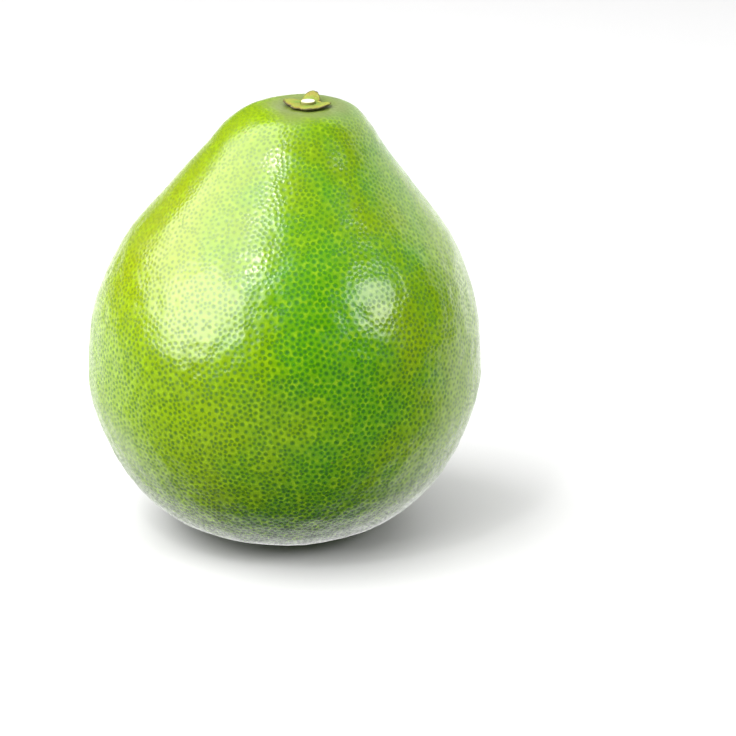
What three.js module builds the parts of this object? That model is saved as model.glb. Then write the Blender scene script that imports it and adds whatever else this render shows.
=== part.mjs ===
// A whole pomelo: a pear-shaped citrus fruit that stands on the small flat spot at its blossom end. The fruit
// is one grown piece. On its crown lie the two pieces of its button: the lobed calyx, and the cut stub of the
// stalk that comes up through it.
// Millimetres, +Z up, +X to the side that the neck leans to. The origin is on the resting face, under the
// middle of the fruit's bounding box.
import * as THREE from "three";

// Driving dimensions.
const FRUIT_WIDTH = 160; // across the belly
const FRUIT_HEIGHT = 178.4; // resting face to the crown's rim
const LEAN = 6.6; // how far the neck carries the crown towards +X
const BUTTON_SHIFT = { x: 4.1, y: -2.4 }; // where the stalk sits, from the crown's middle
const STUB_DIAMETER = 5.8; // cut stalk
const STUB_LENGTH = 2.3;
const CALYX_THICKNESS = 1.1;
const FIT_GAP = 0.3; // between pieces that lie against each other

// The fruit's outline as [share of half the width, share of the height].
const STYLE_SCAR = [
  [0, 0.008],
  [0.03, 0.006],
  [0.06, 0],
]; // a dimple in the middle of the flat spot
const FLANK = [
  [0.31, 0], // rim of the flat spot
  [0.47, 0.014],
  [0.65, 0.058],
  [0.813, 0.134],
  [0.92, 0.224],
  [0.99, 0.319],
  [1, 0.403], // belly
  [0.965, 0.533],
  [0.835, 0.672],
  [0.626, 0.796],
  [0.465, 0.886],
  [0.37, 0.945],
  [0.28, 0.983],
  [0.175, 1], // crown's rim
  [0.08, 0.9965],
  [0, 0.9945], // the stalk end is sunk a little
];

// How the fruit departs from a turned shape: waves round it, with their depth as a share of the radius, and
// angles in degrees from +X towards +Y.
const OVAL = { depth: 0.008, lobes: 2, at: 0 };
const THREE_SIDED = { depth: 0.005, lobes: 3, at: 25 };
const NECK_FURROWS = { depth: 0.012, lobes: 5, at: 12 };
const LEAN_STARTS = 0.32; // share of the height
const CROWN_STARTS = 0.85;
const CROWN_TILT = { x: 0.012, y: 0.03 }; // slope of the crown, up towards +X and +Y
const CROWN_RADIUS = 30; // where the button's shift ends

const FRUIT_SEGMENTS = 72;
const RINGS_PER_SPAN = 3;
const CALYX_SEGMENTS = 80;
const CALYX_STEPS = 5; // from the stalk to the edge
const STUB_SEGMENTS = 24;

// The calyx's lobes: each tip's direction and reach, how wide the lobe is, and how far its tip curls up.
const CALYX_LOBES = [
  { at: 72, reach: 8.8, spread: 36, curl: 2.3 },
  { at: 165, reach: 9.4, spread: 38, curl: 0.6 },
  { at: 226, reach: 7.8, spread: 28, curl: 0.2 },
  { at: 284, reach: 10.4, spread: 36, curl: 0.2 },
  { at: 333, reach: 11.2, spread: 34, curl: 0.5 },
];
const NOTCH_RADIUS = 6.2; // between two lobes
const LOBE_ROUNDNESS = 0.8; // below 1 rounds the tips, above 1 points them

const rad = THREE.MathUtils.degToRad;
const smoothstep = THREE.MathUtils.smoothstep;
const lerp = THREE.MathUtils.lerp;
const toMillimetres = ([x, y]) => new THREE.Vector2((x * FRUIT_WIDTH) / 2, y * FRUIT_HEIGHT);

const flankRings = RINGS_PER_SPAN * (FLANK.length - 1);
const flank = new THREE.SplineCurve(FLANK.map(toMillimetres)).getPoints(flankRings);

// A profile turned about +Z. Its points run from the bottom of the axis, outwards and up.
function turned(profile, segments) {
  return new THREE.LatheGeometry(profile, segments).rotateX(Math.PI / 2);
}

// Moves every vertex of a geometry with a function that changes a Vector3 in place.
function bent(geometry, move) {
  const position = geometry.attributes.position;
  const point = new THREE.Vector3();
  for (let i = 0; i < position.count; i++) {
    move(point.fromBufferAttribute(position, i));
    position.setXYZ(i, point.x, point.y, point.z);
  }
  return geometry;
}

function wave({ depth, lobes, at }, angle) {
  return depth * Math.cos(lobes * (angle - rad(at)));
}

// Grows a point of the turned shape into the real fruit's, which is slightly oval and three-sided, furrowed
// at the neck, and leaning.
function grow(point) {
  const angle = Math.atan2(point.y, point.x);
  const rise = point.z / FRUIT_HEIGHT;
  const furrows = smoothstep(rise, 0.6, 0.9) * wave(NECK_FURROWS, angle);
  const swell = 1 + wave(OVAL, angle) + wave(THREE_SIDED, angle) + furrows;
  const lean = (Math.max(0, rise - LEAN_STARTS) / (1 - LEAN_STARTS)) ** 2;
  const crown = smoothstep(rise, CROWN_STARTS, 1);
  const inwards = Math.max(0, 1 - Math.hypot(point.x, point.y) / CROWN_RADIUS);
  point.z += crown * (CROWN_TILT.x * point.x + CROWN_TILT.y * point.y);
  point.x = point.x * swell + LEAN * lean + BUTTON_SHIFT.x * crown * inwards;
  point.y = point.y * swell + BUTTON_SHIFT.y * crown * inwards;
}

function fruitGeometry() {
  return bent(turned([...STYLE_SCAR.map(toMillimetres), ...flank], FRUIT_SEGMENTS), grow);
}

// Height of the crown's surface at a radius, before the fruit is grown.
function crownHeight(radius) {
  const outer = flank.findLastIndex((point) => point.x >= radius);
  const [a, b] = [flank[outer], flank[outer + 1] ?? flank[outer]];
  return lerp(a.y, b.y, (a.x - radius) / Math.max(a.x - b.x, 1e-6));
}

// How much of a lobe there is in a direction: 1 on its middle line, 0 outside it.
function lobeShare(lobe, angle) {
  const turn = THREE.MathUtils.euclideanModulo(angle - rad(lobe.at) + Math.PI, 2 * Math.PI);
  const away = Math.abs(turn - Math.PI) / rad(lobe.spread);
  return Math.cos((Math.min(away, 1) * Math.PI) / 2) ** LOBE_ROUNDNESS;
}

// The calyx starts as a washer with radius 1 at its hole and 2 at its edge. Each point then goes out to the
// lobe's reach, down to the crown, and up by the lobe's curl.
function calyxGeometry() {
  const hole = STUB_DIAMETER / 2 + FIT_GAP;
  const steps = Array.from({ length: CALYX_STEPS + 1 }, (_, i) => 1 + i / CALYX_STEPS);
  const under = steps.map((radius) => new THREE.Vector2(radius, FIT_GAP));
  const over = steps.toReversed().map((radius) => new THREE.Vector2(radius, FIT_GAP + CALYX_THICKNESS));
  return bent(turned([...under, ...over, under[0]], CALYX_SEGMENTS), (point) => {
    const angle = Math.atan2(point.y, point.x);
    const outwards = Math.hypot(point.x, point.y) - 1;
    let reach = NOTCH_RADIUS;
    let curl = 0;
    for (const lobe of CALYX_LOBES) {
      reach += (lobe.reach - NOTCH_RADIUS) * lobeShare(lobe, angle);
      curl += lobe.curl * lobeShare(lobe, angle);
    }
    const radius = lerp(hole, reach, outwards);
    const height = crownHeight(radius) + point.z + curl * outwards ** 2;
    grow(point.set(radius * Math.cos(angle), radius * Math.sin(angle), height));
  });
}

function stubGeometry() {
  const radius = STUB_DIAMETER / 2;
  const worn = 0.3; // edge of the cut
  const foot = crownHeight(radius) + FIT_GAP;
  const profile = [
    new THREE.Vector2(0, foot),
    new THREE.Vector2(radius, foot),
    new THREE.Vector2(radius, foot + STUB_LENGTH - worn),
    new THREE.Vector2(radius - worn, foot + STUB_LENGTH),
    new THREE.Vector2(0, foot + STUB_LENGTH),
  ];
  return bent(turned(profile, STUB_SEGMENTS), grow);
}

const rind = new THREE.MeshStandardMaterial({ color: 0x82bb18, roughness: 0.4, metalness: 0 });
const sepal = new THREE.MeshStandardMaterial({ color: 0xb0a838, roughness: 0.7, metalness: 0 });
const cutStalk = new THREE.MeshStandardMaterial({ color: 0xf4efcf, roughness: 0.8, metalness: 0 });

function piece(name, geometry, material) {
  const mesh = new THREE.Mesh(geometry, material);
  mesh.name = name;
  return mesh;
}

const pomelo = new THREE.Group();
pomelo.add(
  piece("fruit", fruitGeometry(), rind),
  piece("calyx", calyxGeometry(), sepal),
  piece("stalk_stub", stubGeometry(), cutStalk),
);

// Puts the origin under the middle of the fruit's bounding box.
const middle = new THREE.Box3().setFromObject(pomelo, true).getCenter(new THREE.Vector3());
pomelo.position.set(-middle.x, -middle.y, 0);

export default pomelo;
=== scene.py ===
"""A whole pomelo, standing on its blossom end on a pale table in soft studio light.

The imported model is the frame, and every piece takes its place from it. Metres, +Z up.
"""

import logging
import math
from dataclasses import dataclass
from enum import Enum
from typing import Any, Mapping, Optional, Sequence, Union

import bpy
import numpy as np
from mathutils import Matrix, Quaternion, Vector, noise
from mathutils.geometry import delaunay_2d_cdt


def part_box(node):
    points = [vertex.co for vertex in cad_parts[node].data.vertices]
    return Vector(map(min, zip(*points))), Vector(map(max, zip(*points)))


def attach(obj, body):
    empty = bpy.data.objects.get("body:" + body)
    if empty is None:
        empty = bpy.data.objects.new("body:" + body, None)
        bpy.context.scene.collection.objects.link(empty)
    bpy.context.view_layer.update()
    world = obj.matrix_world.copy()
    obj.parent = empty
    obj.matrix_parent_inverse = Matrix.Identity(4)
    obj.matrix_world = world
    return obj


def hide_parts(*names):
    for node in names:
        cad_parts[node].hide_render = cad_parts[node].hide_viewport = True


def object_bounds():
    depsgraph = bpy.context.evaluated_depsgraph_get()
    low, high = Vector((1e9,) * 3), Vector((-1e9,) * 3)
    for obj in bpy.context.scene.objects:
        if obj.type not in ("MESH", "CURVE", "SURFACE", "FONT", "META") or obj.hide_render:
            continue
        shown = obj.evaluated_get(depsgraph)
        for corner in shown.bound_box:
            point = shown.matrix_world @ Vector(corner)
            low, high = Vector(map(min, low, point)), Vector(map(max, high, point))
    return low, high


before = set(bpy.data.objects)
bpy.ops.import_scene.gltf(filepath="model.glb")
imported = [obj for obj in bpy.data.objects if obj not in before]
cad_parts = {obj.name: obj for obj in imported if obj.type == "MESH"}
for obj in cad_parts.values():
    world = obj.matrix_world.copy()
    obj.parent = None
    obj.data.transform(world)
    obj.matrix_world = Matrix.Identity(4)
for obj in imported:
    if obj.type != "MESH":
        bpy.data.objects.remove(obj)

CAD_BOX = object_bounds()
LOG = logging.getLogger("pomelo")
MILLIMETRE = 0.001


# --- Shader maths -------------------------------------------------------------


def paint(code: str) -> tuple[float, float, float, float]:
    """The linear colour of a six-digit sRGB code.

    Args:
        code: The colour as "rrggbb".

    Returns:
        Red, green, blue and an alpha of 1.
    """
    shares = [int(code[i : i + 2], 16) / 255 for i in (0, 2, 4)]
    linear = [s / 12.92 if s <= 0.04045 else ((s + 0.055) / 1.055) ** 2.4 for s in shares]
    return (*linear, 1.0)


class Signal:
    """One output of a node, which Python's operators turn into further nodes."""

    def __init__(self, sheet: "Sheet", socket: bpy.types.NodeSocket) -> None:
        """Wraps a socket.

        Args:
            sheet: The sheet of nodes that the socket is on.
            socket: The output.
        """
        self.sheet = sheet
        self.socket = socket

    def _with(self, operation: str, *inputs: Union["Signal", float]) -> "Signal":
        """Adds a Math node, or a Vector Math node where an input is no plain number.

        Args:
            operation: The node's operation.
            inputs: The values or links of its sockets, in order.

        Returns:
            The node's output.
        """
        links = [x for x in inputs if isinstance(x, Signal)]
        plain = all(x.socket.type == "VALUE" for x in links)
        kind = "ShaderNodeMath" if plain else "ShaderNodeVectorMath"
        return self.sheet.node(kind, {"operation": operation}, dict(enumerate(inputs)))

    def __add__(self, other: Union["Signal", float]) -> "Signal":
        """self + other."""
        return self._with("ADD", self, other)

    def __radd__(self, other: float) -> "Signal":
        """other + self."""
        return self._with("ADD", other, self)

    def __sub__(self, other: Union["Signal", float]) -> "Signal":
        """self - other."""
        return self._with("SUBTRACT", self, other)

    def __rsub__(self, other: float) -> "Signal":
        """other - self."""
        return self._with("SUBTRACT", other, self)

    def __mul__(self, other: Union["Signal", float]) -> "Signal":
        """self * other."""
        return self._with("MULTIPLY", self, other)

    def __rmul__(self, other: float) -> "Signal":
        """other * self."""
        return self._with("MULTIPLY", other, self)

    def __truediv__(self, other: Union["Signal", float]) -> "Signal":
        """self / other."""
        return self._with("DIVIDE", self, other)

    def __rtruediv__(self, other: float) -> "Signal":
        """other / self."""
        return self._with("DIVIDE", other, self)

    def step(self, low: float, high: float) -> "Signal":
        """A smooth step from 0 at low to 1 at high, which falls if low is above high.

        Args:
            low: Where the step is 0.
            high: Where the step is 1.

        Returns:
            The step, 0 to 1.
        """
        falls = low > high
        edges = {"From Min": min(low, high), "From Max": max(low, high), "Value": self}
        rise = self.sheet.node("ShaderNodeMapRange", {"interpolation_type": "SMOOTHSTEP"}, edges)
        return 1 - rise if falls else rise


Value = Union[Signal, float, Sequence[float]]
Span = tuple[float, float]


class Blend(Enum):
    """How a Mix node lays its second colour over its first."""

    MIX = "MIX"
    MULTIPLY = "MULTIPLY"


class Sheet:
    """The nodes of one material or world, which end in a shader."""

    def __init__(self, owner: Union[bpy.types.Material, bpy.types.World], shader: str) -> None:
        """Starts with nothing but the shader.

        Args:
            owner: The material or world.
            shader: The name of the node that shades it.
        """
        owner.use_nodes = True
        self.owner = owner
        self.tree = owner.node_tree
        self.shader = self.tree.nodes[shader]

    @classmethod
    def material(cls, name: str) -> "Sheet":
        """Starts a new material."""
        return cls(bpy.data.materials.new(name), "Principled BSDF")

    def node(
        self,
        kind: str,
        settings: Optional[Mapping[str, Any]] = None,
        inputs: Optional[Mapping[Union[int, str], Value]] = None,
        output: Union[int, str] = 0,
    ) -> Signal:
        """Adds one node.

        Args:
            kind: The node's type.
            settings: Its own settings, which are set first.
            inputs: The values or links of its sockets, by name or place.
            output: The output to return, by name or place.

        Returns:
            That output.
        """
        made = self.tree.nodes.new(kind)
        for name, value in (settings or {}).items():
            setattr(made, name, value)
        for name, value in (inputs or {}).items():
            self.feed(made.inputs[name], value)
        return Signal(self, made.outputs[output])

    def feed(self, socket: bpy.types.NodeSocket, value: Value) -> None:
        """Links or sets one input.

        Args:
            socket: The input.
            value: A signal to link, or a number or colour to set.
        """
        if isinstance(value, Signal):
            self.tree.links.new(value.socket, socket)
        elif hasattr(socket.default_value, "__len__") and not hasattr(value, "__len__"):
            socket.default_value = [value] * len(socket.default_value)
        else:
            socket.default_value = value

    def place(self) -> Signal:
        """Where each point is, in metres, in the frame."""
        return self.node("ShaderNodeTexCoord", output="Object")

    def attribute(self, name: str) -> Signal:
        """A number that the mesh carries at each vertex."""
        return self.node("ShaderNodeAttribute", {"attribute_name": name}, output="Fac")

    def noise(self, size: float, detail: float = 2, rough: float = 0.5) -> Signal:
        """Cloudy noise, about 0.5 in the middle.

        Args:
            size: The size of its largest features, in metres.
            detail: How many finer layers it has.
            rough: How strong those are.

        Returns:
            The noise, 0 to 1.
        """
        inputs = {"Scale": 1 / size, "Detail": detail, "Roughness": rough, "Vector": self.place()}
        return self.node("ShaderNodeTexNoise", {}, inputs, "Fac")

    def mix(self, share: Value, first: Value, second: Value, blend: Blend = Blend.MIX) -> Signal:
        """Lays a second colour over a first.

        Args:
            share: How much of the second shows, 0 to 1.
            first: The colour below.
            second: The colour above.
            blend: How they combine.

        Returns:
            The mixed colour.
        """
        settings = {"data_type": "RGBA", "blend_type": blend.value, "clamp_factor": True}
        return self.node("ShaderNodeMix", settings, {0: share, 6: first, 7: second}, 2)

    def bump(self, height: Signal, depth: float, below: Optional[Signal] = None) -> Signal:
        """A bumped normal.

        Args:
            height: The relief, 0 to 1.
            depth: How deep a relief of 1 is, in metres.
            below: A normal to bump further.

        Returns:
            The normal.
        """
        inputs: dict[str, Value] = {"Height": height, "Distance": depth, "Strength": 1.0}
        if below is not None:
            inputs["Normal"] = below
        return self.node("ShaderNodeBump", {}, inputs)

    def finish(self, **inputs: Value) -> Union[bpy.types.Material, bpy.types.World]:
        """Sets the shader's sockets.

        Args:
            inputs: Values or links, by socket name with _ for a space.

        Returns:
            The material or world.
        """
        for name, value in inputs.items():
            self.feed(self.shader.inputs[name.replace("_", " ")], value)
        return self.owner


# --- The fruit's form ---------------------------------------------------------


@dataclass(frozen=True)
class Wave:
    """A swelling round the fruit: its depth as a share of the radius, and one crest's angle in degrees."""

    depth: float
    lobes: int
    crest: float

    def at(self, angle: np.ndarray) -> np.ndarray:
        """The swelling at each angle, in radians from +X towards +Y."""
        return self.depth * np.cos(self.lobes * (angle - math.radians(self.crest)))


def smooth_step(value: np.ndarray, low: float, high: float) -> np.ndarray:
    """A smooth step from 0 at low to 1 at high.

    Args:
        value: The numbers to step.
        low: Where the step is 0.
        high: Where the step is 1.

    Returns:
        The steps, 0 to 1.
    """
    share = np.clip((value - low) / (high - low), 0, 1)
    return share * share * (3 - 2 * share)


def smooth_noise(points: np.ndarray, size: float, seed: float = 0) -> np.ndarray:
    """Gentle lumps in space.

    Args:
        points: Places, in metres.
        size: The lumps' size, in metres.
        seed: Shifts the pattern, so that two of them differ.

    Returns:
        One number for each place, about -1 to 1.
    """
    return np.array([noise.noise(Vector(p) / size + Vector((seed, seed, seed))) for p in points])


@dataclass
class FruitForm:
    """The pomelo's smooth shape: a turned outline that is then grown into a real fruit's.

    The flank holds the outline's points, as shares of half the width and of the height. A place on the skin
    is a complex number. Its angle is the angle round the fruit, and its size goes from 0 at the blossom end
    to infinity at the stalk end, in the way that keeps small triangles their shape.
    """

    width: float = 0.160
    height: float = 0.1784
    lean: float = 0.0066
    button_shift: tuple[float, float] = (0.0041, -0.0024)
    crown_radius: float = 0.030
    crown_tilt: tuple[float, float] = (0.012, 0.03)
    crown_starts: float = 0.85
    lean_starts: float = 0.32
    furrow_span: Span = (0.6, 0.9)
    scar_radius: float = 0.0048
    scar_depth: float = 0.0014
    flank: tuple[tuple[float, float], ...] = (
        (0.31, 0), (0.47, 0.014), (0.65, 0.058), (0.813, 0.134), (0.92, 0.224), (0.99, 0.319), (1, 0.403),
        (0.965, 0.533), (0.835, 0.672), (0.626, 0.796), (0.465, 0.886), (0.37, 0.945), (0.28, 0.983),
        (0.175, 1), (0.08, 0.9965), (0, 0.9945),
    )
    waves: tuple[Wave, ...] = (Wave(0.008, 2, 0), Wave(0.005, 3, 25))
    neck_furrows: Wave = Wave(0.012, 5, 12)
    steps: int = 40
    tip_radius: float = 0.00005
    turns: int = 360

    def __post_init__(self) -> None:
        """Works out the outline, and the fit to the frame's fruit."""
        self.radius, self.level = self._outline()
        length = np.hypot(np.diff(self.radius), np.diff(self.level))
        mean = (self.radius[1:] + self.radius[:-1]) / 2
        self.along = np.concatenate([[0], np.cumsum(length)])
        self.area = np.concatenate([[0], np.cumsum(2 * math.pi * mean * length)])
        self.stretch = np.concatenate([[0], np.cumsum(length / mean)])
        self.stretch -= np.interp(self.along[-1] / 2, self.along, self.stretch)
        turns = np.linspace(0, 2 * math.pi, self.turns)
        ring = np.repeat(turns[None], len(self.radius), 0)
        own = self.grow(self.radius[:, None], ring, self.level[:, None]).reshape(-1, 3)
        low, high = (np.array(corner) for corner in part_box("fruit"))
        self.fit = (high - low) / (own.max(0) - own.min(0))
        self.shift = low - own.min(0) * self.fit

    def _outline(self) -> tuple[np.ndarray, np.ndarray]:
        """The whole outline, from the middle of the scar to the stalk end.

        Returns:
            The radius and the height of each point of the turned shape.
        """
        knots = np.array(self.flank) * (self.width / 2, self.height)
        ends = np.vstack([knots[:1], knots, knots[-1:]])
        share = np.linspace(0, 1, self.steps, endpoint=False)[:, None]
        spans = []
        for before, start, end, after in zip(ends, ends[1:], ends[2:], ends[3:]):
            straight = (end - before) * share
            bend = (2 * before - 5 * start + 4 * end - after) * share**2
            turn = (3 * start - before - 3 * end + after) * share**3
            spans.append(start + (straight + bend + turn) / 2)
        flank = np.vstack([*spans, knots[-1:]])
        scar = np.linspace(self.tip_radius, self.scar_radius, self.steps)
        dimple = self.scar_depth * (1 - (scar / self.scar_radius) ** 2) ** 2
        flat = np.linspace(self.scar_radius, flank[0, 0], self.steps)[1:-1]
        radius = np.concatenate([scar, flat, np.maximum(flank[:, 0], self.tip_radius)])
        level = np.concatenate([dimple, np.zeros(len(flat)), np.maximum(flank[:, 1], 0)])
        return radius, level

    def grow(self, radius: np.ndarray, angle: np.ndarray, level: np.ndarray) -> np.ndarray:
        """Grows points of the turned shape: oval, three-sided, furrowed at the neck, and leaning.

        Args:
            radius: Distance from the turned shape's axis.
            angle: Angle from +X towards +Y, in radians.
            level: Height.

        Returns:
            The points, with a last axis of 3.
        """
        rise = level / self.height
        swell = 1 + sum(wave.at(angle) for wave in self.waves)
        swell = swell + smooth_step(rise, *self.furrow_span) * self.neck_furrows.at(angle)
        lean = (np.maximum(0, rise - self.lean_starts) / (1 - self.lean_starts)) ** 2
        crown = smooth_step(rise, self.crown_starts, 1)
        inwards = np.maximum(0, 1 - radius / self.crown_radius)
        x, y = radius * np.cos(angle), radius * np.sin(angle)
        z = level + crown * (self.crown_tilt[0] * x + self.crown_tilt[1] * y)
        x = x * swell + self.lean * lean + self.button_shift[0] * crown * inwards
        y = y * swell + self.button_shift[1] * crown * inwards
        return np.stack([x, y, z], -1)

    def fitted(self, points: np.ndarray) -> np.ndarray:
        """Grown points, moved to where the frame has its fruit."""
        return points * self.fit + self.shift

    def at(self, place: np.ndarray) -> np.ndarray:
        """Where places on the skin are.

        Args:
            place: Complex numbers, as the class says.

        Returns:
            The points, in the frame.
        """
        stretch = np.log(np.maximum(np.abs(place), 1e-12))
        radius = np.interp(stretch, self.stretch, self.radius)
        level = np.interp(stretch, self.stretch, self.level)
        return self.fitted(self.grow(radius, np.angle(place), level))

    def outwards(self, place: np.ndarray) -> np.ndarray:
        """The skin's outward normal at places on it.

        Args:
            place: Complex numbers, as the class says.

        Returns:
            Unit vectors.
        """
        step = 2e-3
        along = self.at(place * (1 + step)) - self.at(place * (1 - step))
        across = self.at(place * (1 + 1j * step)) - self.at(place * (1 - 1j * step))
        normal = np.cross(across, along)
        return normal / np.maximum(np.linalg.norm(normal, axis=-1, keepdims=True), 1e-15)

    def crown_level(self, radius: np.ndarray) -> np.ndarray:
        """The height of the crown at each radius, before the fruit is grown."""
        top = slice(len(self.radius) // 2, None)
        return np.interp(radius, self.radius[top][::-1], self.level[top][::-1])

    def button(self) -> Vector:
        """The middle of the crown's hollow, where the stalk comes out."""
        return Vector(self.fitted(self.grow(np.array(0.0), np.array(0.0), self.level[-1])))


# --- Finishes -----------------------------------------------------------------


@dataclass(frozen=True)
class RindFinish:
    """Waxy green rind, with a darker oil gland in every pit and a paler net between them. It also carries
    painted light: lighter lime sides and top, a painted shade band facing the camera, a painted warm-yellow
    highlight high on the left, painted shade towards the foot, and a crown zone that is partly a painted
    reflection.

    A span is where something starts and where it is complete, a size is that of a noise's largest features,
    and a wobble is how far noise moves an edge.
    """

    button: Vector
    foot: Vector
    green: str = "3e7800"
    lime: str = "637e00"
    # Painted highlight: the warm yellow laid high on the left, where the key lamp falls.
    painted_light_gold: str = "727c00"
    # Painted shade: the darker green laid towards the foot.
    deep: str = "1b3600"
    pale: str = "7c9c0a"
    gland: str = "9cc074"
    # Partly the crown's real matte olive-tan, partly a painted reflection of the light above.
    crown: str = "556025"
    cork: str = "5a4322"
    russet: str = "6a5a26"
    ripple_size: float = 0.0011
    cloud_size: float = 0.045
    patch_size: float = 0.011
    vein_size: float = 0.0032
    fleck_size: float = 0.0022
    fleck_cloud_size: float = 0.03
    grain_size: float = 0.0005
    gland_reach: float = 0.41
    gland_spread: float = 0.24
    gland_span: Span = (1.40, 0.45)
    net_span: Span = (0.60, 1.05)
    pit_span: Span = (0.15, 1.15)
    neck_span: Span = (0.075, 0.150)
    crown_span: Span = (0.150, 0.172)
    shoulder_span: Span = (0.080, 0.125)
    left_span: Span = (0.010, -0.050)
    foot_shade_span: Span = (0.060, 0.005)
    button_span: Span = (0.022, 0.012)
    scar_span: Span = (0.0052, 0.0040)
    pore_wobble: float = 0.30
    button_wobble: float = 0.012
    scar_wobble: float = 0.0015
    # Where the painted shade band lies across the fruit, in metres along x; the sides away from it are
    # painted lighter.
    painted_shade_band_x: float = 0.018
    pit_relief: float = 0.00005
    grain_relief: float = 0.000012

    def make(self) -> bpy.types.Material:
        """Builds the rind's material.

        Returns:
            The material.
        """
        sheet = Sheet.material("rind")
        place = sheet.place()
        from_button = self._distance(sheet, self.button)
        from_foot = self._distance(sheet, self.foot)
        ripple = sheet.noise(self.ripple_size, 2)
        clouds = sheet.noise(self.cloud_size, 3)
        patches = sheet.noise(self.patch_size, 2)
        sides = sheet.node("ShaderNodeSeparateXYZ", {}, {0: place}, "X")
        level = sheet.node("ShaderNodeSeparateXYZ", {}, {0: place}, "Z")
        tone = sheet.attribute("tone")
        pore = sheet.attribute("pore") + (ripple - 0.5) * self.pore_wobble
        size = self.gland_reach + self.gland_spread * tone
        neck = level.step(*self.neck_span)
        glands = (pore / size).step(*self.gland_span) * (0.80 + 0.20 * tone) * (1 - 0.35 * neck)
        net = pore.step(*self.net_span)
        bare = (from_button + (patches - 0.5) * self.button_wobble).step(*self.button_span)

        # Partly random tone and partly painted light: clouds and patches mix green and lime at random, but
        # the sides away from a vertical band near x = 18 mm are painted lighter, that band, which faces the
        # camera, keeps a painted shade of darker green, and the crown is painted lighter.
        off_shaded_band = sheet.node("ShaderNodeMath", {"operation": "ABSOLUTE"}, {0: sides - self.painted_shade_band_x})
        crown = level.step(*self.crown_span)
        lime_and_painted_light = (clouds + off_shaded_band * 9.0 + crown * 0.25 + (patches - 0.5) * 0.25).step(0.50, 0.95)
        skin = sheet.mix(lime_and_painted_light, paint(self.green), paint(self.lime))
        # Painted highlight: warm yellow laid high on the left side, where the key lamp falls.
        painted_light_shoulder = level.step(*self.shoulder_span) * sides.step(*self.left_span) * (0.2 + clouds)
        skin = sheet.mix(painted_light_shoulder, skin, paint(self.painted_light_gold))
        # Painted shade: darker green towards the foot, where the fruit sits in shadow.
        skin = sheet.mix(level.step(*self.foot_shade_span) * 0.85, skin, paint(self.deep))
        veins = sheet.noise(self.vein_size, 2).step(0.45, 0.68)
        skin = sheet.mix(net * (0.18 + 0.42 * veins), skin, paint(self.pale))
        skin = sheet.mix(glands * (1 - 0.85 * bare), skin, paint(self.gland), Blend.MULTIPLY)
        # The matte olive-tan round the stalk is partly the crown's own colour and partly a painted reflection
        # of the light above.
        skin = sheet.mix(bare * 0.85, skin, paint(self.crown))
        flecks = sheet.noise(self.fleck_size, 1).step(0.74, 0.80)
        flecks = flecks * sheet.noise(self.fleck_cloud_size, 1).step(0.52, 0.64)
        skin = sheet.mix(flecks * 0.5, skin, paint(self.russet))
        cork = (from_foot + (ripple - 0.5) * self.scar_wobble).step(*self.scar_span)
        skin = sheet.mix(cork, skin, paint(self.cork))

        normal = sheet.bump(pore.step(*self.pit_span), self.pit_relief)
        normal = sheet.bump(sheet.noise(self.grain_size, 3), self.grain_relief, normal)
        dull = patches.step(0.65, 0.35)
        rough = 0.16 + 0.08 * dull + 0.03 * neck + 0.14 * glands + 0.20 * bare + 0.25 * cork
        return sheet.finish(Base_Color=skin, Roughness=rough, Normal=normal, IOR=1.5, Specular_IOR_Level=0.5)

    @staticmethod
    def _distance(sheet: Sheet, point: Vector) -> Signal:
        """How far each point is from a given one.

        Args:
            sheet: The sheet to work on.
            point: The given point.

        Returns:
            The distance, in metres.
        """
        inputs = {0: sheet.place(), 1: point}
        return sheet.node("ShaderNodeVectorMath", {"operation": "DISTANCE"}, inputs, "Value")


@dataclass(frozen=True)
class SepalFinish:
    """Drying sepals: green by the stalk, yellow-olive further out, with a dark brown rim that is partly their
    real papery edge and partly painted shade standing in for the shadow under the lifted rim.
    """

    inner: str = "5c7414"
    outer: str = "737a18"
    dry: str = "7f6814"
    # Partly the real dry edge colour, partly painted shade at the rim.
    edge: str = "33240a"
    wobble_size: float = 0.0016
    streak_size: float = 0.0007
    mottle_size: float = 0.004
    middle_span: Span = (0.15, 0.75)
    edge_span: Span = (0.86, 1.02)
    relief: float = 0.00018

    def make(self) -> bpy.types.Material:
        """Builds the sepals' material.

        Returns:
            The material.
        """
        sheet = Sheet.material("sepal")
        out = sheet.attribute("outwards") + (sheet.noise(self.wobble_size, 3) - 0.5) * 0.35
        streaks = sheet.noise(self.streak_size, 4, 0.65)
        mottle = sheet.noise(self.mottle_size, 2).step(0.5, 0.68)
        skin = sheet.mix(out.step(*self.middle_span), paint(self.inner), paint(self.outer))
        skin = sheet.mix(mottle * 0.6, skin, paint(self.dry))
        skin = sheet.mix(streaks.step(0.45, 0.72) * 0.35, skin, paint(self.edge))
        # The dark rim band is partly the sepals' real dry edge and partly painted shade standing in for the
        # shadow under the lifted rim.
        skin = sheet.mix(out.step(*self.edge_span), skin, paint(self.edge))
        normal = sheet.bump(streaks, self.relief)
        return sheet.finish(Base_Color=skin, Roughness=0.55 + 0.25 * streaks, Normal=normal)


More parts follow.
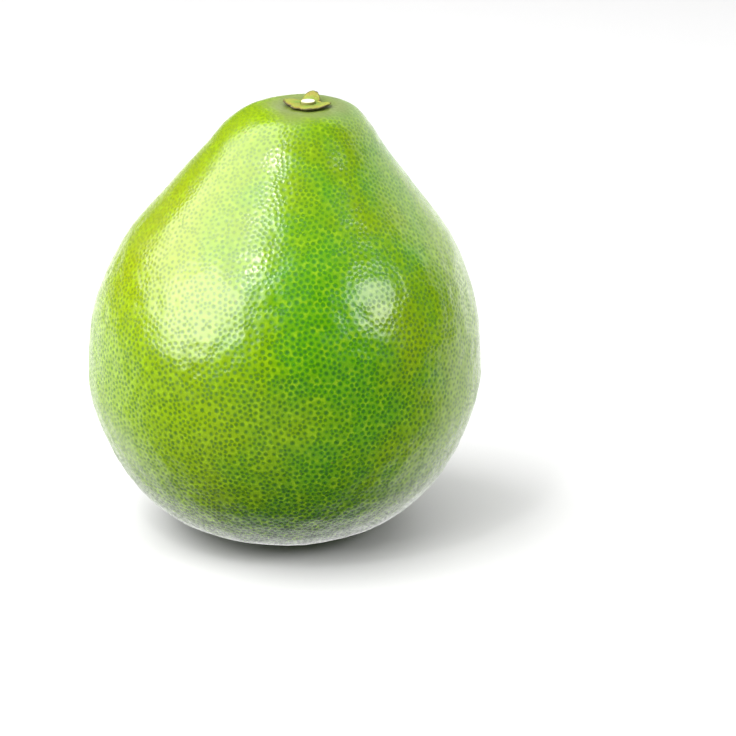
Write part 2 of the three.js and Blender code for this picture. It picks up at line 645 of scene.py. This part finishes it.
@dataclass(frozen=True)
class StalkFinish:
    """A freshly cut stalk: cream wood with faint rings and a thin olive bark."""

    middle: Vector
    radius: float
    wood: str = "b4b2a2"
    ring: str = "a09468"
    bark: str = "6a6c26"
    wobble_size: float = 0.0012
    grain_size: float = 0.0004
    ring_turns: float = 34.0
    pith_span: Span = (0.20, 0.08)
    bark_span: Span = (0.86, 0.97)
    relief: float = 0.00012

    def make(self) -> bpy.types.Material:
        """Builds the cut stalk's material.

        Returns:
            The material.
        """
        sheet = Sheet.material("cut_stalk")
        level_place = {0: sheet.place(), 1: (1, 1, 0)}
        flat = sheet.node("ShaderNodeVectorMath", {"operation": "MULTIPLY"}, level_place)
        axis = (self.middle.x, self.middle.y, 0)
        away = sheet.node("ShaderNodeVectorMath", {"operation": "DISTANCE"}, {0: flat, 1: axis}, "Value")
        away = away / self.radius + (sheet.noise(self.wobble_size, 2) - 0.5) * 0.10
        rings = sheet.node("ShaderNodeMath", {"operation": "SINE"}, {0: away * self.ring_turns})
        grain = sheet.noise(self.grain_size, 3)
        skin = sheet.mix(rings.step(0.2, 1.0) * 0.35, paint(self.wood), paint(self.ring))
        skin = sheet.mix(grain.step(0.55, 0.75) * 0.4, skin, paint(self.ring))
        skin = sheet.mix(away.step(*self.pith_span) * 0.5, skin, paint(self.ring))
        skin = sheet.mix(away.step(*self.bark_span), skin, paint(self.bark))
        normal = sheet.bump(grain, self.relief)
        return sheet.finish(Base_Color=skin, Roughness=0.75, Normal=normal)


@dataclass(frozen=True)
class TableFinish:
    """A plain pale table top, with faint clouds in it."""

    colour: str = "bcbcbc"
    cloud: str = "b8b8b8"
    cloud_size: float = 0.4

    def make(self) -> bpy.types.Material:
        """Builds the table's material.

        Returns:
            The material.
        """
        sheet = Sheet.material("table")
        clouds = sheet.noise(self.cloud_size, 2)
        skin = sheet.mix(clouds * 0.3, paint(self.colour), paint(self.cloud))
        return sheet.finish(Base_Color=skin, Roughness=0.7)


# --- Meshes -------------------------------------------------------------------


def mesh_object(name: str, points: np.ndarray, faces: list[list[int]]) -> bpy.types.Object:
    """Makes a smooth-shaded mesh object.

    Args:
        name: The object's name.
        points: Its vertices, in metres.
        faces: Its faces, as vertex numbers.

    Returns:
        The object, linked to the scene.
    """
    mesh = bpy.data.meshes.new(name)
    mesh.from_pydata(points.tolist(), [], faces)
    mesh.validate()
    mesh.shade_smooth()
    made = bpy.data.objects.new(name, mesh)
    bpy.context.scene.collection.objects.link(made)
    return made


def add_numbers(piece: bpy.types.Object, name: str, numbers: np.ndarray) -> None:
    """Gives each vertex a number that finishes can read.

    Args:
        piece: The object.
        name: The attribute's name.
        numbers: One for each vertex.
    """
    layer = piece.data.attributes.new(name, "FLOAT", "POINT")
    layer.data.foreach_set("value", np.asarray(numbers, np.float32))


def fill_box(points: np.ndarray, node: str) -> np.ndarray:
    """Stretches points by the little that they need to fill a frame node's box exactly.

    Args:
        points: The points, with a last axis of 3.
        node: The node's name.

    Returns:
        The points, with the node's lowest and highest corners.
    """
    low, high = (np.array(corner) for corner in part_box(node))
    least, most = points.min(0), points.max(0)
    return low + (points - least) * (high - low) / (most - least)


def ring_faces(rings: int, around: int) -> np.ndarray:
    """Quads between rings of vertices that each close on themselves.

    Args:
        rings: How many rings there are.
        around: How many vertices a ring has.

    Returns:
        The quads.
    """
    ring, turn = np.meshgrid(np.arange(rings - 1), np.arange(around), indexing="ij")
    after = (turn + 1) % around
    this, following = ring * around, (ring + 1) * around
    return np.stack([this + turn, this + after, following + after, following + turn], -1).reshape(-1, 4)


@dataclass
class Fruit:
    """The fruit with its rind. Every oil gland is a shallow pit with a vertex at its bottom.

    The collar is a regular ring of points round the stalk, under the calyx. Glands are sown outside it, from
    sown_from times its radius, and kept outside it, from kept_from times its radius. A calm is the stretch,
    in metres, over which the skin goes from smooth to its full relief, or on the neck to its lesser relief.
    The discs are the two that the unwrapped skin is laid out as.
    """

    form: FruitForm
    belly_spacing: float = 0.00255
    neck_spacing: float = 0.00220
    neck_starts: float = 0.100
    jitter: float = 0.30
    relaxations: int = 3
    pit_depth: float = 0.00013
    lump_size: float = 0.0055
    lump_height: float = 0.00022
    swell_size: float = 0.026
    swell_height: float = 0.0004
    collar: float = 0.0034
    collar_points: int = 16
    sown_from: float = 1.5
    kept_from: float = 1.2
    first_gland: float = 0.0004
    pore_stray: float = 0.06
    depth_spread: Span = (0.6, 1.25)
    sowing_seed: int = 7
    pit_seed: int = 11
    swell_seed: int = 5
    button_calm: Span = (0.004, 0.018)
    scar_calm: Span = (0.004, 0.009)
    foot_calm: Span = (0.0, 0.004)
    neck_calm: Span = (0.12, 0.15)
    neck_smoothness: float = 0.6
    disc_radius: float = 0.28
    disc_middles: Span = (0.29, 0.71)

    def _scatter(self) -> np.ndarray:
        """Spreads the glands evenly over the skin, with no visible rows.

        Returns:
            Their places on the skin.
        """
        rng = np.random.default_rng(self.sowing_seed)
        form = self.form
        spacing = self._spacing(form.level)
        cells = np.gradient(form.area) / (spacing**2 * math.sqrt(3) / 2)
        sown = form.area < self._area_outside(self.collar * self.sown_from)
        tally = np.cumsum(cells * sown)
        count = int(tally[-1])
        along = np.interp((np.arange(count) + 0.5) / count * tally[-1], tally, form.along)
        radius = np.interp(along, form.along, form.radius)
        stray = self.jitter * self._spacing(np.interp(along, form.along, form.level))
        angle = np.arange(count) * math.pi * (3 - math.sqrt(5))
        along = along + rng.normal(0, 1, count) * stray
        angle = angle + rng.normal(0, 1, count) * stray / np.maximum(radius, stray)
        return self._places(along, angle)

    def _area_outside(self, radius: float) -> float:
        """The area of the skin outside a ring of some radius round the stalk."""
        return self.form.area[-1] - math.pi * radius**2

    def _spacing(self, level: np.ndarray) -> np.ndarray:
        """How far apart the glands are at each level: closer together on the neck."""
        neck = smooth_step(level, self.neck_starts, self.form.height)
        return self.belly_spacing + (self.neck_spacing - self.belly_spacing) * neck

    def _places(self, along: np.ndarray, angle: np.ndarray) -> np.ndarray:
        """Places on the skin.

        Args:
            along: The way from the blossom end along the outline, in metres.
            angle: The angle round the fruit.

        Returns:
            The places, kept off the collar round the stalk.
        """
        form = self.form
        last = np.interp(self._area_outside(self.collar * self.kept_from), form.area, form.along)
        kept = np.clip(along, self.first_gland, last)
        return np.exp(np.interp(kept, form.along, form.stretch) + 1j * angle)

    def _collar(self) -> np.ndarray:
        """A regular ring of places round the stalk, under the calyx.

        Returns:
            The ring's places on the skin.
        """
        form = self.form
        stretch = np.interp(self._area_outside(self.collar), form.area, form.stretch)
        return np.exp(stretch + 2j * math.pi * np.arange(self.collar_points) / self.collar_points)

    @staticmethod
    def _triangles(places: np.ndarray) -> np.ndarray:
        """Joins neighbouring places, so that no other place lies in a triangle's circle.

        Args:
            places: Places on the skin.

        Returns:
            Triangles as numbers of places, facing out.
        """
        flat = [Vector((p.real, p.imag)) for p in places]
        _, _, faces, origins, _, _ = delaunay_2d_cdt(flat, [], [], 0, 1e-9)
        order = np.array([o[0] for o in origins])
        return order[np.array(faces)][:, ::-1]

    def _relax(self, places: np.ndarray, fixed: np.ndarray) -> np.ndarray:
        """Moves each gland towards the middle of its neighbours.

        Args:
            places: The glands' places.
            fixed: Places that stay.

        Returns:
            The new places.
        """
        form = self.form
        every = np.concatenate([places, fixed])
        triangles = self._triangles(every)
        pairs = np.concatenate([triangles[:, [0, 1]], triangles[:, [1, 2]], triangles[:, [2, 0]]])
        stretch = np.log(np.abs(every))
        radius = np.interp(stretch, form.stretch, form.radius)
        step = every[pairs[:, 1]] / every[pairs[:, 0]]
        total = np.zeros(len(every), complex)
        count = np.zeros(len(every))
        np.add.at(total, pairs[:, 0], np.log(step))
        np.add.at(count, pairs[:, 0], 1)
        own = slice(len(places))
        move = (total / np.maximum(count, 1))[own]
        along = np.interp(stretch, form.stretch, form.along)[own] + move.real * radius[own]
        return self._places(along, np.angle(places) + move.imag)

    @staticmethod
    def _split(triangles: np.ndarray, count: int) -> tuple[np.ndarray, np.ndarray]:
        """Cuts each triangle in six, at the middles of its edges and its own middle.

        Args:
            triangles: Triangles between glands.
            count: How many glands there are.

        Returns:
            The two glands at the ends of each edge, and the faces. A face numbers the glands first, then the
            middles of the edges, then the middles of the triangles.
        """
        sides = np.concatenate([triangles[:, [0, 1]], triangles[:, [1, 2]], triangles[:, [2, 0]]])
        edges, which = np.unique(np.sort(sides, 1), axis=0, return_inverse=True)
        halves = count + which.reshape(3, -1).T
        middles = count + len(edges) + np.arange(len(triangles))
        faces = []
        for corner in range(3):
            half, next_corner = halves[:, corner], triangles[:, (corner + 1) % 3]
            faces.append(np.stack([triangles[:, corner], half, middles], 1))
            faces.append(np.stack([half, next_corner, middles], 1))
        return edges, np.concatenate(faces)

    def _pores(
        self, points: np.ndarray, edges: np.ndarray, triangles: np.ndarray, rng: np.random.Generator
    ) -> np.ndarray:
        """How far each vertex is from the middle of its gland.

        Args:
            points: The vertices before they are given any relief.
            edges: The glands at the ends of each edge.
            triangles: The glands at the corners of each triangle.
            rng: Draws the glands' own small differences.

        Returns:
            About 0 at a gland, 1 half-way to the next one, and 1 on the collar.
        """
        glands = len(points) - len(edges) - len(triangles)
        middles = points[glands + len(edges) :, None]
        half = self._spacing(points[:, 2]) / 2
        pores = np.concatenate([
            rng.normal(0.0, self.pore_stray, glands),
            np.linalg.norm(points[edges[:, 0]] - points[edges[:, 1]], axis=1) / 2,
            np.linalg.norm(points[triangles] - middles, axis=2).mean(1),
        ])
        pores[glands:] /= half[glands:]
        pores[glands - self.collar_points : glands] = 1.0
        return pores

    def _lumps(self, points: np.ndarray) -> np.ndarray:
        """How far lumps and swellings lift each vertex: less on the neck, and not at all at the foot.

        Args:
            points: The vertices before they are given any relief.

        Returns:
            The lifts, in metres.
        """
        level = points[:, 2]
        lumps = self.lump_height * smooth_noise(points, self.lump_size)
        lumps += self.swell_height * smooth_noise(points, self.swell_size, self.swell_seed)
        lumps *= 1 - self.neck_smoothness * smooth_step(level, *self.neck_calm)
        return lumps * smooth_step(level, *self.foot_calm)

    def _calm(self, points: np.ndarray) -> np.ndarray:
        """How much relief each vertex has, from none under the button and at the scar to all of it.

        Args:
            points: The vertices before they are given any relief.

        Returns:
            The shares, 0 to 1.
        """
        button = np.array(self.form.button())
        scar = np.array((self.form.shift[0], self.form.shift[1], 0))
        calm = smooth_step(np.linalg.norm(points - button, axis=1), *self.button_calm)
        return calm * smooth_step(np.linalg.norm(points - scar, axis=1), *self.scar_calm)

    def build(self) -> bpy.types.Object:
        """Builds the fruit.

        Returns:
            The fruit's object.
        """
        form, rng = self.form, np.random.default_rng(self.pit_seed)
        collar = self._collar()
        places = self._scatter()
        for _ in range(self.relaxations):
            places = self._relax(places, collar)
        places = np.concatenate([places, collar])
        glands = len(places)
        triangles = self._triangles(places)
        edges, faces = self._split(triangles, glands)
        spots = np.concatenate([places, places[edges].mean(1), places[triangles].mean(1)])
        points = form.at(spots)
        normals = form.outwards(spots)

        pores = self._pores(points, edges, triangles, rng)
        tone = rng.uniform(0, 1, glands)
        tone = np.concatenate([tone, tone[edges].mean(1), tone[triangles].mean(1)])
        depth = np.zeros(len(spots))
        depth[:glands] = self.pit_depth * rng.uniform(*self.depth_spread, glands)
        depth[glands - len(collar) : glands] = 0

        calm = self._calm(points)
        rise = self._lumps(points) * calm - depth * calm
        points = points + normals * rise[:, None]
        points[:, 2] = np.maximum(points[:, 2], 0)
        points = fill_box(points, "fruit")

        tip = len(points)
        points = np.vstack([points, np.array(form.button())])
        faces = np.concatenate([faces, self._cap(faces, tip)])
        fruit = mesh_object("pomelo_fruit", points, faces.tolist())
        add_numbers(fruit, "pore", np.append(pores, 1.0))
        add_numbers(fruit, "tone", np.append(tone, 0.5))
        self._unwrap(fruit, np.append(spots, np.exp(form.stretch[-1] + 0j)))
        return fruit

    @staticmethod
    def _cap(faces: np.ndarray, tip: int) -> np.ndarray:
        """Closes the hole round the stalk.

        Args:
            faces: The faces so far.
            tip: The number of the vertex in the middle of the hole.

        Returns:
            The triangles between the hole's edge and that vertex.
        """
        sides = np.concatenate([faces[:, [0, 1]], faces[:, [1, 2]], faces[:, [2, 0]]])
        _, first, count = np.unique(np.sort(sides, 1), axis=0, return_index=True, return_counts=True)
        rim = sides[first[count == 1]]
        return np.stack([rim[:, 1], rim[:, 0], np.full(len(rim), tip)], 1)

    def _unwrap(self, fruit: bpy.types.Object, spots: np.ndarray) -> None:
        """Lays the skin out as two discs, the lower half and the upper half.

        Args:
            fruit: The object.
            spots: Each vertex's place on the skin.
        """
        form = self.form
        along = np.interp(np.log(np.abs(spots)), form.stretch, form.along) / form.along[-1]
        loops = np.empty(len(fruit.data.loops), np.int32)
        fruit.data.loops.foreach_get("vertex_index", loops)
        upper = np.repeat(along[loops].reshape(-1, 3).mean(1) > 0.5, 3)
        reach = 2 * self.disc_radius * np.where(upper, 1 - along[loops], along[loops])
        angle = np.angle(spots)[loops]
        middle = np.where(upper, self.disc_middles[1], self.disc_middles[0])
        u = middle + reach * np.cos(angle)
        v = middle + reach * np.sin(angle) * np.where(upper, 1, -1)
        layer = fruit.data.uv_layers.new(name="OFBake")
        layer.uv.foreach_set("vector", np.stack([u, v], 1).astype(np.float32).ravel())

    def dress(self, fruit: bpy.types.Object) -> None:
        """Gives the fruit its rind, and its place in the frame.

        Args:
            fruit: The object.
        """
        low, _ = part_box("fruit")
        foot = Vector((self.form.shift[0], self.form.shift[1], low.z))
        fruit.data.materials.append(RindFinish(self.form.button(), foot).make())
        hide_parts("fruit")
        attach(fruit, "root")


@dataclass(frozen=True)
class Lobe:
    """One lobe of the calyx: its direction and half its spread in degrees, its reach, and its tip's curl."""

    at: float
    reach: float
    spread: float
    curl: float

    def share(self, angle: np.ndarray, roundness: float) -> np.ndarray:
        """How much of the lobe there is at each angle: 1 on its middle line and 0 outside it.

        Args:
            angle: Angles, in radians.
            roundness: Below 1 rounds the tips, above 1 points them.

        Returns:
            The shares.
        """
        turn = (angle - math.radians(self.at) + math.pi) % (2 * math.pi) - math.pi
        away = np.minimum(np.abs(turn) / math.radians(self.spread), 1)
        return np.cos(away * math.pi / 2) ** roundness


@dataclass
class Button:
    """What lies on the crown: the calyx's five fused sepals, and the cut stalk that comes up through them.

    The stub's side and top hold the cut stalk's outline, as shares of its radius and of its length.
    """

    form: FruitForm
    lobes: tuple[Lobe, ...] = (
        Lobe(72, 0.0088, 36, 0.0023),
        Lobe(165, 0.0094, 38, 0.0006),
        Lobe(226, 0.0078, 28, 0.0002),
        Lobe(284, 0.0104, 36, 0.0002),
        Lobe(333, 0.0112, 34, 0.0005),
    )
    notch: float = 0.0062
    thickness: float = 0.0011
    gap: float = 0.0003
    roundness: float = 0.8
    edge_crowding: float = 1.4
    edge_squareness: int = 10
    vein_sharpness: int = 8
    vein_height: float = 0.00022
    wrinkle_height: float = 0.00016
    around: int = 288
    steps: int = 26
    stub_radius: float = 0.0029
    stub_length: float = 0.0023
    stub_side: tuple[tuple[float, float], ...] = (
        (0.02, 0.0), (0.97, 0.0), (1.0, 0.06), (1.0, 0.5), (1.0, 0.88), (0.985, 0.95), (0.95, 0.99),
    )
    stub_top: tuple[float, ...] = (0.88, 0.8, 0.7, 0.6, 0.5, 0.4, 0.3, 0.2, 0.1, 0.02)
    saw_marks: float = 0.00004
    stub_around: int = 96

    def _calyx_points(self) -> tuple[np.ndarray, np.ndarray]:
        """The calyx's vertices, ring by ring: out along its underside and back over its top.

        Returns:
            The points, and how far out each is, 0 at the stalk and 1 at the edge.
        """
        angle = np.linspace(0, 2 * math.pi, self.around, endpoint=False)
        circle = np.stack([np.cos(angle), np.sin(angle), np.zeros(self.around)], 1)
        shares = [lobe.share(angle, self.roundness) for lobe in self.lobes]
        reach = self.notch + sum((l.reach - self.notch) * s for l, s in zip(self.lobes, shares))
        reach = reach * (1 + 0.025 * smooth_noise(circle, 0.11) + 0.02 * smooth_noise(circle, 0.045, 3))
        curl = sum(l.curl * s for l, s in zip(self.lobes, shares))
        vein = sum(s**self.vein_sharpness for s in shares)
        hole = self.stub_radius + self.gap * 0.5
        out = 1 - (1 - np.linspace(0, 1, self.steps)) ** self.edge_crowding
        rings, outwards = [], []
        for over in (False, True):
            for share in out[::-1] if over else out:
                radius = hole + share * (reach - hole)
                rim = np.sqrt(max(0.0, 1 - share**self.edge_squareness))
                thick = self.thickness * (1 - 0.30 * share) * rim
                plump = self.vein_height * vein * share * (1 - share) * 4
                wrinkle = self.wrinkle_height * smooth_noise(circle * (0.2 + share), 0.09, 9)
                wrinkle = wrinkle * share * (rim if over else 1)
                centre_line = self.gap + self.thickness * (0.5 - 0.15 * share)
                lift = centre_line + (thick / 2 + plump * rim if over else -thick / 2)
                height = self.form.crown_level(radius) + lift + curl * share**2 + wrinkle
                rings.append(self.form.fitted(self.form.grow(radius, angle, height)))
                outwards.append(np.full(self.around, share))
        return fill_box(np.concatenate(rings), "calyx"), np.concatenate(outwards)

    def build_calyx(self) -> bpy.types.Object:
        """Builds and dresses the calyx.

        Returns:
            The calyx's object.
        """
        points, outwards = self._calyx_points()
        rings = 2 * self.steps
        faces = ring_faces(rings, self.around)
        turn = np.arange(self.around)
        after = (turn + 1) % self.around
        last = (rings - 1) * self.around
        closing = np.stack([last + turn, last + after, after, turn], 1)
        calyx = mesh_object("pomelo_calyx", points, np.concatenate([faces, closing]).tolist())
        add_numbers(calyx, "outwards", outwards)
        calyx.data.materials.append(SepalFinish().make())
        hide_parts("calyx")
        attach(calyx, "root")
        return calyx

    def build_stub(self) -> bpy.types.Object:
        """Builds and dresses the cut stalk.

        Returns:
            The stub's object.
        """
        around = self.stub_around
        angle = np.linspace(0, 2 * math.pi, around, endpoint=False)
        circle = np.stack([np.cos(angle), np.sin(angle), np.zeros(around)], 1)
        ridges = np.abs(np.sin(angle * 9 + smooth_noise(circle, 0.5)))
        ribs = 1 + 0.02 * smooth_noise(circle, 0.25) - 0.012 * ridges
        foot = float(self.form.crown_level(np.array(self.stub_radius))) + self.gap
        rings = []
        for share, rise in (*self.stub_side, *((s, 1 - 0.05 * (1 - s)) for s in self.stub_top)):
            radius = self.stub_radius * share * ribs
            saw = self.saw_marks * smooth_noise(circle * share, 0.12, 2) * (rise > 0.9)
            level = foot + self.stub_length * rise + saw
            rings.append(self.form.fitted(self.form.grow(radius, angle, level)))
        faces = ring_faces(len(rings), around).tolist()
        faces.append(list(range(around))[::-1])
        faces.append([(len(rings) - 1) * around + i for i in range(around)])
        stub = mesh_object("pomelo_stalk_stub", fill_box(np.concatenate(rings), "stalk_stub"), faces)
        low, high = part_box("stalk_stub")
        stub.data.materials.append(StalkFinish((low + high) / 2, self.stub_radius).make())
        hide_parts("stalk_stub")
        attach(stub, "root")
        return stub


# --- Studio -------------------------------------------------------------------


class Pane(Enum):
    """The shape of a soft lamp's pane."""

    OVAL = "ELLIPSE"
    OBLONG = "RECTANGLE"


@dataclass(frozen=True)
class Softbox:
    """A soft lamp that faces the fruit.

    Its direction is in degrees, from the camera's side towards +X and up, and its glow is its own brightness.
    Gloss reflects it if it is mirrored, and it brightens dull surfaces if it lights.
    """

    name: str
    azimuth: float
    elevation: float
    distance: float
    width: float
    height: float
    glow: float
    roll: float = 0.0
    pane: Pane = Pane.OVAL
    mirrored: bool = True
    lights: bool = True

    def light(self, target: Vector) -> bpy.types.Object:
        """Hangs the lamp.

        Args:
            target: What it faces.

        Returns:
            The lamp's object.
        """
        lamp = bpy.data.lights.new(self.name, "AREA")
        lamp.shape = self.pane.value
        lamp.size, lamp.size_y = self.width, self.height
        area = self.width * self.height * (math.pi / 4 if self.pane is Pane.OVAL else 1)
        lamp.energy = self.glow * math.pi * area
        made = bpy.data.objects.new(self.name, lamp)
        turn, up = math.radians(self.azimuth), math.radians(self.elevation)
        way = Vector((math.sin(turn) * math.cos(up), -math.cos(turn) * math.cos(up), math.sin(up)))
        made.location = target + way * self.distance
        made.visible_glossy = self.mirrored
        made.visible_diffuse = self.lights
        made.visible_camera = False
        turned = way.to_track_quat("Z", "Y") @ Quaternion((0, 0, 1), math.radians(self.roll))
        made.rotation_euler = turned.to_euler()
        bpy.context.scene.collection.objects.link(made)
        return made


@dataclass
class Studio:
    """A pale table, soft lamps and the camera, in a room that is bright behind the fruit and dim in front."""

    elevation: float = 20.0
    distance: float = 1.3
    frame_width: float = 0.3030
    aside: float = 0.0342
    below: float = 0.0038
    belly_level: float = 0.070
    sensor: float = 36.0
    table_half: float = 4.0
    backdrop_way: tuple[float, float, float] = (0.48, 0.77, 0.42)
    backdrop_span: Span = (0.74, 0.94)
    table_away_span: Span = (-0.15, 0.40)
    table_down_span: Span = (0.04, -0.14)
    front_walls: float = 0.08
    back_walls: float = 1.6
    far_table: float = 1.5
    softboxes: tuple[Softbox, ...] = (
        Softbox("window", -75, 44, 0.9, 1.52, 1.14, 5.5, -25, Pane.OBLONG),
        Softbox("window_sheen", -55, 29, 0.9, 0.90, 0.52, 5.0, lights=False),
        Softbox("bulb", -28, 53, 0.85, 0.08, 0.08, 80.0),
        Softbox("right_box", 61, 27, 0.9, 0.48, 0.38, 8.8),
        Softbox("sky", 0, 90, 6.0, 12.0, 12.0, 1.9, 0, Pane.OBLONG, mirrored=False),
    )

    def build(self) -> None:
        """Builds the table, the lamps, the camera and the world."""
        low, high = CAD_BOX
        middle = (Vector(low) + Vector(high)) / 2
        self._table(low[2])
        for box in self.softboxes:
            box.light(middle)
        self._camera()
        self._world()

    def _table(self, level: float) -> None:
        """Lays the table top.

        Args:
            level: The height of its surface.
        """
        half = self.table_half
        corners = [(-half, -half, level), (half, -half, level), (half, half, level), (-half, half, level)]
        table = mesh_object("table", np.array(corners), [[0, 1, 2, 3]])
        table.data.materials.append(TableFinish().make())
        table.visible_glossy = False

    def _camera(self) -> None:
        """Sets the camera to look along +Y and down, with the fruit to the left of the middle."""
        lens = bpy.data.cameras.new("camera")
        lens.sensor_width = self.sensor
        lens.lens = self.sensor * self.distance / self.frame_width
        camera = bpy.data.objects.new("camera", lens)
        tilt = math.radians(self.elevation)
        ahead = Vector((0, math.cos(tilt), -math.sin(tilt)))
        up = Vector((0, math.sin(tilt), math.cos(tilt)))
        target = Vector((self.aside, 0, self.belly_level)) - up * self.below
        camera.location = target - ahead * self.distance
        camera.rotation_euler = (math.pi / 2 - tilt, 0, 0)
        bpy.context.scene.collection.objects.link(camera)
        bpy.context.scene.camera = camera

    def _world(self) -> None:
        """Surrounds the studio with white behind the fruit and dim walls in front."""
        scene = bpy.context.scene
        scene.view_settings.view_transform = "Standard"
        sheet = Sheet(bpy.data.worlds.new("studio"), "Background")
        way = sheet.node("ShaderNodeTexCoord", output="Generated")
        axes = {axis: sheet.node("ShaderNodeSeparateXYZ", {}, {0: way}, axis) for axis in "YZ"}
        ways = {0: way, 1: self.backdrop_way}
        facing = sheet.node("ShaderNodeVectorMath", {"operation": "DOT_PRODUCT"}, ways, "Value")
        backdrop = facing.step(*self.backdrop_span)
        table = axes["Y"].step(*self.table_away_span) * axes["Z"].step(*self.table_down_span)
        seen = sheet.node("ShaderNodeLightPath", output="Is Camera Ray")
        glow = self.front_walls + self.back_walls * backdrop + self.far_table * table
        scene.world = sheet.finish(Color=(1, 1, 1, 1), Strength=glow * (1 - seen) + seen)


# --- The whole ----------------------------------------------------------------


def report(piece: bpy.types.Object) -> None:
    """Logs a piece's name and size."""
    size = " x ".join(f"{side / MILLIMETRE:.1f}" for side in piece.dimensions)
    LOG.info("%s: %s mm, %d faces", piece.name, size, len(piece.data.polygons))


def main() -> None:
    """Builds the pomelo and its studio."""
    logging.basicConfig(level=logging.INFO, format="%(name)s: %(message)s")
    Studio().build()
    form = FruitForm()
    fruit = Fruit(form)
    body = fruit.build()
    fruit.dress(body)
    report(body)
    button = Button(form)
    for piece in (button.build_calyx(), button.build_stub()):
        report(piece)


if __name__ == "__main__":
    main()
